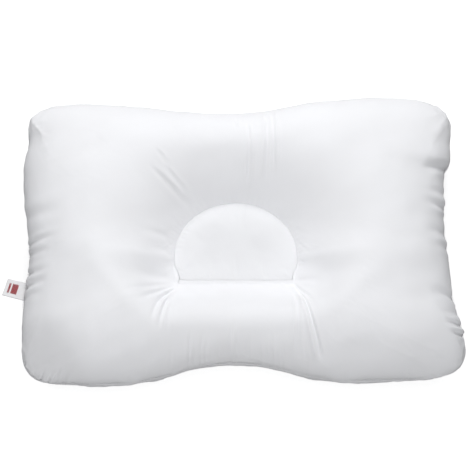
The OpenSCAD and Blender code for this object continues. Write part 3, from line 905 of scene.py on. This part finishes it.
def lower_cover():
    grid = pull_in(BOTTOM, BOTTOM_SHARE > 0.85)
    put_on_seam(grid[0], GROOVE, -0.35)
    face = refine(grid)
    share = doubled_rows(BOTTOM_SHARE)
    lifted = 1 - ease((FLAT_SHARE + 0.03 - share[:, None]) / 0.03)
    lumps = waves(face, 6, 95.0) * 0.9 + waves(face, 8, 38.0) * 0.3
    height = lumps * lifted + seam_gathers(face, share > 0.7)
    face = face + grid_normals(face) * height[..., None]
    # shallow hollows where the flat cloth lies on the table, and the line stitched through it
    flat = ease((FLAT_SHARE + 0.01 - share[:, None]) / 0.05)
    hollows = waves(face, 21, 70.0) * 0.45 + waves(face, 22, 26.0) * 0.12 + 0.1
    face[..., 2] += flat * np.clip(hollows, 0, 2)
    x, y = face[..., 0], face[..., 1]
    inside = inside_cradle(x, y)
    from_line = np.where(inside > 0, inside, np.abs(outside_cradle(x, y)))
    face[..., 2] += flat * 1.7 * np.exp(-(from_line / 4.5) ** 2)
    face[..., 2] = np.maximum(face[..., 2], 0)
    face[0, :, 2] = SEAM_Z - 0.35
    outer = np.concatenate([
        flap(face[0], FINE_EDGE_OUT, (-ALLOWANCE, -0.25), (-2.2, -0.25)), face])

    normals = grid_normals(face)[::2, ::2] * CLOTH
    lining = face[::2, ::2].copy()
    lining[..., :2] -= normals[..., :2]
    curved_z = lining[..., 2] - np.minimum(normals[..., 2], 0)
    lining[..., 2] = np.where((BOTTOM_SHARE <= FLAT_SHARE)[:, None], lining[..., 2] + CLOTH,
                              np.minimum(curved_z + 0.2, SEAM_Z - 0.9))
    put_on_seam(lining[0], 3.4, -1.1)
    inner = np.concatenate([
        flap(lining[0], EDGE_OUT, (-ALLOWANCE + 0.8, -1.05), (-1.6, -1.05)), lining])

    # the middle is closed by one point on each face
    points, faces = closed_sheet(outer, inner, joins=(0,))
    count, middle_z = len(points), face[-1, :, 2].mean()
    points = np.concatenate([points, [[*MIDDLE, middle_z], [*MIDDLE, middle_z + CLOTH]]])
    outer_last = (outer.shape[0] - 1) * outer.shape[1]
    faces += fan(outer_last, 2 * COLUMNS, count)
    faces += fan(count - COLUMNS, COLUMNS, count + 1, flip=True)
    return points, faces


LINING, upper_points, upper_faces = upper_cover()
upper = add_piece("upper_cover", "top_cover", upper_points, upper_faces, COVER)
lower = add_piece("lower_cover", "bottom_cover", *lower_cover(), COVER)
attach(lower, "base")
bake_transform(upper)

# ---------------------------------------------------------------- cradle panel
PANEL_ROWS = 44
# shallow folds: plan points, half width, depth
PANEL_FOLDS = (
    ([(0, -50), (1, -34), (-2, -12)], 3.0, 0.4),
    ([(-34, -51), (-31, -38), (-30, -22)], 3.0, 0.5),
    ([(42, -51), (40, -40), (41, -26)], 3.0, 0.5),
    ([(-80, -44), (-66, -36), (-52, -34)], 3.5, 0.4),
    ([(80, -44), (68, -37), (54, -36)], 3.5, 0.4),
    ([(10, 60), (9, 44), (12, 28)], 3.5, 0.5))


def panel_grid():
    """The cradle panel's upper face, from the middle out to its seam."""
    step = np.arange(1, PANEL_ROWS + 1)
    share = np.sin(np.pi / 2 * step / PANEL_ROWS) * 0.5 + 0.5 * step / PANEL_ROWS
    line = np.stack(cradle_line(FINE_TURNS, -0.03), -1)
    plan = MIDDLE + (line - MIDDLE) * share[:, None, None]
    x, y = plan[..., 0], plan[..., 1]
    inside = inside_cradle(x, y)
    from_arc = (ARC_R ** 2 - x ** 2 - np.maximum(y + ARC_SHIFT, 0) ** 2) / ARC_R ** 2
    z = SEAM_Z + (0.8 * CRADLE_CROWN * (1 - (1 - np.clip(from_arc, 0, 1)) ** 2.4)
                  * ease((y + CRADLE_FRONT) / 96))
    z += ease(inside / 26) * (waves(plan, 31, 60.0) * 0.5 + waves(plan, 32, 24.0) * 0.08)
    # tiny gathers and a soft swell along the seam
    angle = np.arctan2(y - MIDDLE[1], x)
    pucker = ripple(angle, count=53, sway=5, beat=19, phase=0.7)
    z += 0.14 * pucker * np.exp(-((inside - 5) / 4.5) ** 2)
    swell = 0.5 * np.exp(-((inside - 6) / 5) ** 2) - 0.35 * np.exp(-(inside / 2.0) ** 2)
    z += swell * ease((y + CRADLE_FRONT) / 25)
    for points, width, depth in PANEL_FOLDS:
        z += crease(x, y, points, width, depth, ridge=0.6, side=1,
                    fade_in=0.1, fade_out=0.7) * ease(inside / 3)
    z[-1] = SEAM_Z - 0.2
    return np.concatenate([plan, z[..., None]], -1)


def cradle_panel(face):
    outer = np.concatenate([
        face, flap(face[-1], FINE_RIM_OUT, (-0.12, -3.0), (-0.15, -TURNED))])
    lining = face[:, ::2].copy()
    lining[..., 2] -= CLOTH
    lining[-1, :, :2] -= RIM_OUT * CLOTH
    inner = np.concatenate([lining, flap(lining[-1], RIM_OUT, (0.2, -3.0), (0.2, -TURNED))])
    # the middle is closed by one point on each face
    points, faces = closed_sheet(outer, inner, joins=(-1,))
    count, middle_z = len(points), face[0, :, 2].mean()
    points = np.concatenate([points, [[*MIDDLE, middle_z], [*MIDDLE, middle_z - CLOTH]]])
    faces += fan(0, 2 * COLUMNS, count, flip=True)
    faces += fan(outer.shape[0] * outer.shape[1], COLUMNS, count + 1)
    return points, faces


PANEL_FACE = panel_grid()
panel = add_piece("cradle_top", "cradle_panel", *cradle_panel(PANEL_FACE), PANEL)
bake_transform(panel)


# ---------------------------------------------------------------- thread helpers
def tube(path, radius, sides=6, closed=False):
    """Points and faces of a round tube along a path; radius is one value or one per point."""
    radius = np.broadcast_to(radius, len(path))[:, None, None]
    if closed:
        along = unit(np.roll(path, -1, 0) - np.roll(path, 1, 0))
    else:
        along = unit(np.gradient(path, axis=0))
    reference = np.where(np.abs(along[:, 2:]) > 0.9, [[1.0, 0, 0]], [[0, 0, 1.0]])
    across = unit(np.cross(along, reference))
    over = np.cross(along, across)
    angle = (np.arange(sides) / sides * TAU)[None, :, None]
    rings = path[:, None] + radius * (across[:, None] * np.cos(angle)
                                      + over[:, None] * np.sin(angle))
    faces = grid_faces(sides, len(path))
    last = (len(path) - 1) * sides
    if closed:
        faces += [[last + i, last + (i + 1) % sides, (i + 1) % sides, i] for i in range(sides)]
    else:
        faces += [list(range(sides))[::-1], list(range(last, last + sides))]
    return rings.reshape(-1, 3), faces


def guide_line(path, out, closed=False):
    """A path with its out directions as further columns, and the distance along them all."""
    guide = np.concatenate([path, np.broadcast_to(out, path.shape)], 1)
    if closed:
        guide = np.concatenate([guide, guide[:1]])
    steps = np.linalg.norm(np.diff(guide, axis=0), axis=1)
    return guide, np.concatenate([[0], np.cumsum(steps)])


def guide_at(guide, distances, wanted):
    return np.stack([np.interp(wanted, distances, column) for column in guide.T], -1)


def stitch_row(path, out, closed, pitch, length, radius, bow, sink):
    """Separate lockstitches: each bows out of the cloth and dips into it at both ends."""
    guide, distances = guide_line(path, out, closed)
    count = int(distances[-1] / pitch)
    rng = np.random.default_rng(3)
    share = np.linspace(-1, 1, 7)
    thickness = radius * np.sqrt(1 - 0.75 * share ** 4)
    lift = (bow * (1 - share ** 2) - sink)[:, None]
    stitches = []
    for i in range(count):
        middle = (i + 0.5) * distances[-1] / count + rng.uniform(-0.15, 0.15)
        spots = guide_at(guide, distances, middle + share * length / 2)
        stitches.append(tube(spots[:, :3] + spots[:, 3:] * lift, thickness))
    return merged(stitches)


def add_thread(name, replaces, points, faces):
    ob = add_piece(name, replaces, points, faces, THREAD, turn_out=False)
    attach(ob, "base")


# ---------------------------------------------------------------- threads
STITCH_INSET = 1.9          # perimeter stitches, in from the outline
UP, DOWN = [0, 0, 1.0], [0, 0, -1.0]


def perimeter_stitches():
    plan = np.stack(outline(np.arange(1200) / 1200), -1)
    out = plan_out(plan)
    return stitch_row(at_height(plan - STITCH_INSET * out, SEAM_Z), at_height(out, 0.0),
                      closed=True, pitch=3.2, length=2.4, radius=0.34, bow=0.5, sink=0.25)


def overlock():
    """One zigzag thread around the turned-in allowance."""
    count = 1560
    i = np.arange(count)
    plan = np.stack(outline(i / count), -1)
    inset = np.where(i % 2 == 0, 4.6, ALLOWANCE + 0.9)
    z = SEAM_Z + np.where(i % 4 == 0, 1.55, np.where(i % 4 == 2, -1.55, 0.0))
    path = at_height(plan - inset[:, None] * plan_out(plan), z)
    return tube(path, 0.22, sides=5, closed=True)


def closing_stitches():
    """The filling gap in the front seam, closed by hand with whip stitches over the seam."""
    low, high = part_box("closing_seam_thread")
    plan = np.stack(outline(np.linspace(NECK_SHARE, 1, 4000)), -1)
    x, y = plan.T
    plan = plan[(x > low.x / MM) & (x < high.x / MM) & (y < 0)]
    # the two points at each end go, as their directions come from the far end
    guide, distances = guide_line(plan[2:-2], plan_out(plan)[2:-2])
    share = np.linspace(-1, 1, 11)
    angle = share * 1.25
    away = (-STITCH_INSET + 2.1 * np.cos(angle))[:, None]
    thickness = 0.38 * np.sqrt(1 - 0.6 * share ** 6)
    stitches = []
    for middle in np.arange(2.0, distances[-1] - 2, 3.6):
        spots = guide_at(guide, distances, middle + share * 1.2)
        path = at_height(spots[:, :2] + away * spots[:, 2:], SEAM_Z + 2.3 * np.sin(angle))
        stitches.append(tube(path, thickness))
    return merged(stitches)


def cradle_stitches(plan):
    return stitch_row(at_height(plan, SEAM_Z - 0.55), UP, closed=False, pitch=2.6, length=2.0,
                      radius=0.28, bow=0.4, sink=0.3)


def foot_stitches():
    """The stitches that tie the baffles' feet, seen on the underside."""
    plan = np.stack(cradle_line(np.arange(900) / 900), -1)
    return stitch_row(at_height(plan, 1.55), DOWN, closed=True, pitch=3.4, length=2.6,
                      radius=0.34, bow=0.55, sink=0.1)


arc_plan = np.stack(cradle_line(np.linspace(NECK_SHARE, 1, 700)), -1)
front_plan = at_height(np.linspace(-ARC_R + 1.5, ARC_R - 1.5, 60)[:, None], -CRADLE_FRONT)
add_thread("perimeter_stitches", "perimeter_seam_thread", *perimeter_stitches())
add_thread("overlock_stitches", "perimeter_overlock_thread", *overlock())
add_thread("closing_stitches", "closing_seam_thread", *closing_stitches())
add_thread("cradle_arc_stitches", "cradle_arc_seam_thread", *cradle_stitches(arc_plan))
add_thread("cradle_neck_stitches", "cradle_neck_seam_thread", *cradle_stitches(front_plan))
add_thread("baffle_foot_stitches", "baffle_foot_thread", *foot_stitches())

# ---------------------------------------------------------------- baffles
BAFFLE_FOOT, BAFFLE_HEAD = 2.2, SEAM_Z - 1.0
BAFFLE_THICK, BAFFLE_ROWS = 0.8, 24
HEM, HEM_THICK = 7, 0.18          # height of the turned hem, and what it adds on each face
SLACK = 0.22


def baffle(path, seed):
    """An upright cloth wall along a plan path, with a hem at its foot and slight slack."""
    out = right_of(np.gradient(path, axis=0))
    level = np.linspace(0, 1, BAFFLE_ROWS)[:, None]
    z = BAFFLE_FOOT + (BAFFLE_HEAD - BAFFLE_FOOT) * level
    steps = np.linalg.norm(np.diff(path, axis=0), axis=1)
    along = np.concatenate([[0], np.cumsum(steps)])
    slack = waves(np.stack(np.broadcast_arrays(along, z), -1), seed, 26.0) * SLACK
    # sin(pi) comes out just above zero, so the root is safe
    slack *= np.sin(np.pi * level) ** 0.5
    half = BAFFLE_THICK / 2 + HEM_THICK * (z < BAFFLE_FOOT + HEM)
    sides = []
    for shift in (slack + half, slack - half):
        plan = path + out * shift[..., None]
        heights = np.broadcast_to(z, shift.shape)[..., None]
        sides.append(np.concatenate([plan, heights], -1).reshape(-1, 3))
    return np.concatenate(sides), shell_faces(len(path), BAFFLE_ROWS)


def arc_baffle_path():
    path = np.stack(cradle_line(np.linspace(NECK_SHARE + 0.002, 0.998, 260)), -1)
    path[:, 1] = np.maximum(path[:, 1], -CRADLE_FRONT + 1.4)
    moved = np.linalg.norm(np.diff(path, axis=0), axis=1) > 0.2
    return path[np.concatenate([[True], moved])]


front_path = at_height(np.linspace(-ARC_R + 1.6, ARC_R - 1.6, 120)[:, None], -CRADLE_FRONT)
for name, replaces, path, seed in (
        ("arc_baffle", "cradle_arc_baffle", arc_baffle_path(), 41),
        ("neck_baffle", "cradle_neck_baffle", front_path, 42)):
    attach(add_piece(name, replaces, *baffle(path, seed), BAFFLE), "base")


# ---------------------------------------------------------------- stuffing
def sector(columns, nudge, seed):
    """Stuffing between columns of the cover grid: lumpy on top, settled underneath."""
    rows = np.arange(2, TOP_ROWS - 2)
    normals = grid_normals(LINING)[rows][:, columns]
    out = EDGE_OUT[columns]
    top = LINING[rows][:, columns] - normals * 1.6
    top[0, :, :2] = np.stack(cradle_line(TURNS[columns], 3.0), -1)
    top[0, :, 2] = SEAM_Z - 2.0
    # it stays clear of the turned-in allowance
    limit = EDGE[columns, :2] - out * (ALLOWANCE + 2.6)
    beyond = np.clip(np.sum((top[..., :2] - limit) * out, -1), 0, None)
    top[..., :2] -= beyond[..., None] * out
    lumps = np.abs(waves(top, seed, 34.0)) * 1.1 + np.abs(waves(top, seed + 1, 13.0)) * 0.5
    top[1:] -= (normals * np.minimum(lumps, 3.0)[..., None])[1:]
    top[..., 2] = np.where(beyond > 0, np.minimum(top[..., 2], SEAM_Z + 22), top[..., 2])
    low = top.copy()
    low[..., 2] = (bottom_z(top[..., 0], top[..., 1]) + 2.8
                   + np.minimum(np.abs(waves(top, seed + 2, 30.0)) * 0.8, 2.0))
    low[..., 2] = np.minimum(low[..., 2], top[..., 2] - 2.0)
    # the end columns move apart in x, so that neighbouring sectors don't touch
    for grid in (top, low):
        grid[:, 0, 0] += nudge
        grid[:, -1, 0] -= nudge
    points = np.concatenate([top.reshape(-1, 3), low.reshape(-1, 3)])
    return points, shell_faces(len(columns), len(rows))


def scale_plan(grid, factor):
    """Scales a grid in plan about the cradle's middle."""
    grid[..., :2] = MIDDLE + (grid[..., :2] - MIDDLE) * factor


def cradle_stuffing():
    top = PANEL_FACE[:, ::2].copy()
    scale_plan(top, 0.965)
    lumps = np.abs(waves(top, 71, 30.0)) * 0.8 + np.abs(waves(top, 72, 12.0)) * 0.4
    top[..., 2] -= 2.6 + np.minimum(lumps, 2.5)
    top[-1, :, 2] -= 3.0
    low = top.copy()
    low[..., 2] = 3.2 + np.minimum(np.abs(waves(top, 73, 30.0)) * 0.5, 1.2)
    side = (top[-1] + low[-1]) / 2
    scale_plan(side, 1.004)
    grid = np.concatenate([top, side[None], low[::-1]])
    count = grid.shape[0] * COLUMNS
    points = np.concatenate([grid.reshape(-1, 3), [[*MIDDLE, top[0, :, 2].mean()],
                                                   [*MIDDLE, low[0, :, 2].mean()]]])
    faces = grid_faces(COLUMNS, grid.shape[0])
    faces += fan(0, COLUMNS, count, flip=True)
    faces += fan(count - COLUMNS, COLUMNS, count + 1)
    return points, faces


neck_columns = int(round(COLUMNS * NECK_SHARE))
neck_shape = sector(np.arange(0, neck_columns + 1), nudge=0.9, seed=51)
ring_shape = sector(np.arange(neck_columns, COLUMNS + 1) % COLUMNS, nudge=-0.9, seed=61)
neck_fill = add_piece("neck_roll_stuffing", "neck_roll_fill", *neck_shape, FIBRE)
ring_fill = add_piece("surround_stuffing", "surround_fill", *ring_shape, FIBRE)
cradle_fill = add_piece("cradle_stuffing", "cradle_fill", *cradle_stuffing(), FIBRE)
for ob in (neck_fill, ring_fill):
    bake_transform(ob)
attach(cradle_fill, "base")
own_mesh(cradle_fill)

# ---------------------------------------------------------------- side label
LABEL_LENGTH, LABEL_WIDTH = 29.0, 25.0
LABEL_TURN = math.radians(15)
RIBBON_THICK = 0.42
LABEL_ROOT = 2.3                           # how far it reaches into the seam
FOLD_AT = LABEL_LENGTH - 0.9               # where the fold's bend starts
LABEL_Y = -71.0
LABEL_X = -float(half_length(LABEL_Y))
LABEL_OUT = np.array([-math.cos(LABEL_TURN), math.sin(LABEL_TURN), 0.0])
LABEL_ACROSS = np.array([-math.sin(LABEL_TURN), -math.cos(LABEL_TURN), 0.0])   # to the front


def on_label(out, across, rise):
    """Label coordinates to points; the ribbon droops, cups and twists a little."""
    sag = (-1.5 * (np.clip(out, 0, None) / LABEL_LENGTH) ** 2
           + 0.45 * (across / (LABEL_WIDTH / 2)) ** 2 * ease(out / LABEL_LENGTH)
           + 0.25 * np.sin(out / 4.2 + 0.6) * ease(out / 8)
           + 0.12 * np.sin(across / 2.6 + out / 5))
    twist = 0.035 * ease(out / LABEL_LENGTH) * across
    return (np.array([LABEL_X, LABEL_Y, SEAM_Z]) + out[..., None] * LABEL_OUT
            + across[..., None] * LABEL_ACROSS
            + (rise + sag + twist)[..., None] * np.array([0, 0, 1.0]))


def layer_rise(out):
    """Half the distance between the middles of the ribbon's two layers."""
    return 0.30 + 0.22 * ease((out - 6) / (LABEL_LENGTH - 8))


def fold_label():
    # profile of the folded ribbon: lower layer out, round the fold, upper layer back
    out = np.linspace(-LABEL_ROOT, FOLD_AT, 46)
    bend = np.linspace(-math.pi / 2, math.pi / 2, 11)[1:-1]
    radius = float(layer_rise(FOLD_AT))
    profile = np.concatenate([
        np.stack([out, -layer_rise(out)], -1),
        np.stack([FOLD_AT + radius * 1.5 * np.cos(bend), radius * np.sin(bend)], -1),
        np.stack([out[::-1], layer_rise(out[::-1])], -1)])
    normals = right_of(np.gradient(profile, axis=0))      # out of the fold
    # thicker woven edges, thin at their very rim, and thinner at the root
    across = np.linspace(-LABEL_WIDTH / 2, LABEL_WIDTH / 2, 29)
    from_middle = np.abs(across)
    selvedge = 1 + 0.35 * ease((from_middle - (LABEL_WIDTH / 2 - 1.1)) / 0.5)
    rim = np.where(from_middle > LABEL_WIDTH / 2 - 0.01, 0.45, 1.0)
    root = 1 - 0.45 * (1 - ease((profile[:, 0] + LABEL_ROOT) / 2.0))
    half = (RIBBON_THICK / 2 * selvedge * rim * root[:, None])[..., None]
    sides = []
    for sign in (1, -1):
        skin = profile[:, None] + sign * normals[:, None] * half
        spread = np.broadcast_to(across, skin.shape[:2])
        sides.append(on_label(skin[..., 0], spread, skin[..., 1]).reshape(-1, 3))
    return np.concatenate(sides), shell_faces(len(across), len(profile))


# the mark's block and narrow bar: (start, end) as shares of the label's length
MARK_BANDS = ((0.36, 0.66), (0.73, 0.83))
MARK_HALF = 0.29            # half width, as a share of the label's
MARK_PITCH, MARK_RADIUS = 0.46, 0.21


def woven_mark():
    """A plain block and a narrow bar of raised threads, of slightly different lengths."""
    rng = np.random.default_rng(8)
    thickness = MARK_RADIUS * np.sqrt(1 - 0.6 * np.linspace(-1, 1, 16) ** 8)
    threads = []
    for start, end in MARK_BANDS:
        count = int(round((end - start) * LABEL_LENGTH / MARK_PITCH))
        for i in range(count):
            first = -MARK_HALF * LABEL_WIDTH + rng.uniform(-0.22, 0.22)
            last = MARK_HALF * LABEL_WIDTH + rng.uniform(-0.22, 0.22)
            across = np.linspace(first, last, 16)
            middle = (start + (end - start) * (i + 0.5) / count) * LABEL_LENGTH
            out = middle + 0.03 * np.sin(across * 2.1 + i)
            rise = (layer_rise(out) + RIBBON_THICK / 2 + 0.10
                    + 0.045 * np.sin(across * TAU / 1.5 + i * math.pi))
            threads.append(tube(on_label(out, across, rise), thickness))
    return merged(threads)


label = add_piece("fold_label", "side_label", *fold_label(), RIBBON)
mark = add_piece("woven_mark", "label_mark", *woven_mark(), MARK, turn_out=False)
for ob in (label, mark):
    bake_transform(ob)


# ---------------------------------------------------------------- floor and world
def camera_switch(tree, output_kind, lighting, seen):
    """Shows the camera one shader, and lights the scene with another."""
    is_camera = node(tree, "ShaderNodeLightPath").outputs["Is Camera Ray"]
    mix = node(tree, "ShaderNodeMixShader", {0: is_camera, 1: lighting, 2: seen})
    node(tree, output_kind, {"Surface": mix.outputs[0]})


def floor_material():
    material = bpy.data.materials.new("pale_floor")
    material.use_nodes = True
    tree = material.node_tree
    tree.nodes.clear()
    darker, paler = (
        node(tree, "ShaderNodeBsdfDiffuse", {"Color": (grey, grey, grey, 1)}).outputs[0]
        for grey in (0.34, 0.50))
    glow = node(tree, "ShaderNodeEmission", {"Color": (1, 1, 1, 1), "Strength": 0.72})
    bright = node(tree, "ShaderNodeAddShader", {0: paler, 1: glow.outputs[0]})
    camera_switch(tree, "ShaderNodeOutputMaterial", darker, bright.outputs[0])
    return material


def build_floor():
    half, z = 9000, -0.4
    corners = [(-half, -half, z), (half, -half, z), (half, half, z), (-half, half, z)]
    floor_mat = floor_material()
    floor = add_mesh("floor", corners, [[0, 1, 2, 3]])
    floor.data.materials.append(floor_mat)


def build_world():
    """A sky that brightens overhead; the camera sees plain white."""
    world = bpy.data.worlds.new("studio")
    bpy.context.scene.world = world
    world.use_nodes = True
    tree = world.node_tree
    tree.nodes.clear()
    coords = node(tree, "ShaderNodeTexCoord").outputs["Generated"]
    height = node(tree, "ShaderNodeSeparateXYZ", {0: coords}).outputs["Z"]
    strength = remap(tree, height, {"From Min": 0.50, "From Max": 0.97,
                                    "To Min": 0.03, "To Max": 0.80},
                     interpolation_type="SMOOTHSTEP")
    sky, white = (
        node(tree, "ShaderNodeBackground", {"Color": color, "Strength": power}).outputs[0]
        for color, power in (((0.985, 0.99, 1.0, 1), strength), ((1, 1, 1, 1), 0.97)))
    camera_switch(tree, "ShaderNodeOutputWorld", sky, white)


build_floor()
build_world()

# ---------------------------------------------------------------- lights and camera (m)
CENTRE = Vector((-5.6, 0.0, SEAM_Z)) * MM
LIGHT_SIZE = 1.2
# name, place from the centre, power in watts
LIGHTS = (("key", (0, 1.5, 1.1), 25.0),
          ("front_fill", (0, -1.4, 1.3), 13.5),
          ("left_fill", (-1.45, 0.7, 1.2), 2.8),
          ("right_fill", (1.45, 0.7, 1.2), 1.9))
CAMERA_ELEVATION = math.radians(72)
CAMERA_DISTANCE = 2.2
VIEW_HALF_WIDTH = 0.3273     # half of what the camera takes in at that distance
AIM_RISE = 0.0110            # the aim lies this far up the view from the centre


def place(name, data, location, facing):
    """Links an object whose -Z looks along facing."""
    ob = bpy.data.objects.new(name, data)
    bpy.context.scene.collection.objects.link(ob)
    ob.location = location
    ob.rotation_mode = "QUATERNION"
    ob.rotation_quaternion = facing.to_track_quat("-Z", "Y")
    return ob


def add_light(name, offset, power):
    data = bpy.data.lights.new(name, "AREA")
    data.shape, data.size, data.energy = "DISK", LIGHT_SIZE, power
    location = CENTRE + Vector(offset)
    place(name, data, location, CENTRE - location)


def add_camera():
    data = bpy.data.cameras.new("camera")
    back = Vector((0, -math.cos(CAMERA_ELEVATION), math.sin(CAMERA_ELEVATION)))
    view_up = Vector((0, math.sin(CAMERA_ELEVATION), math.cos(CAMERA_ELEVATION)))
    aim = CENTRE + view_up * AIM_RISE
    camera = place("camera", data, aim + back * CAMERA_DISTANCE, -back)
    data.sensor_width = 36
    data.angle = 2 * math.atan(VIEW_HALF_WIDTH / CAMERA_DISTANCE)
    data.clip_start, data.clip_end = 0.05, 60
    bpy.context.scene.camera = camera


for light in LIGHTS:
    add_light(*light)
add_camera()
bpy.context.scene.view_settings.view_transform = "Standard"
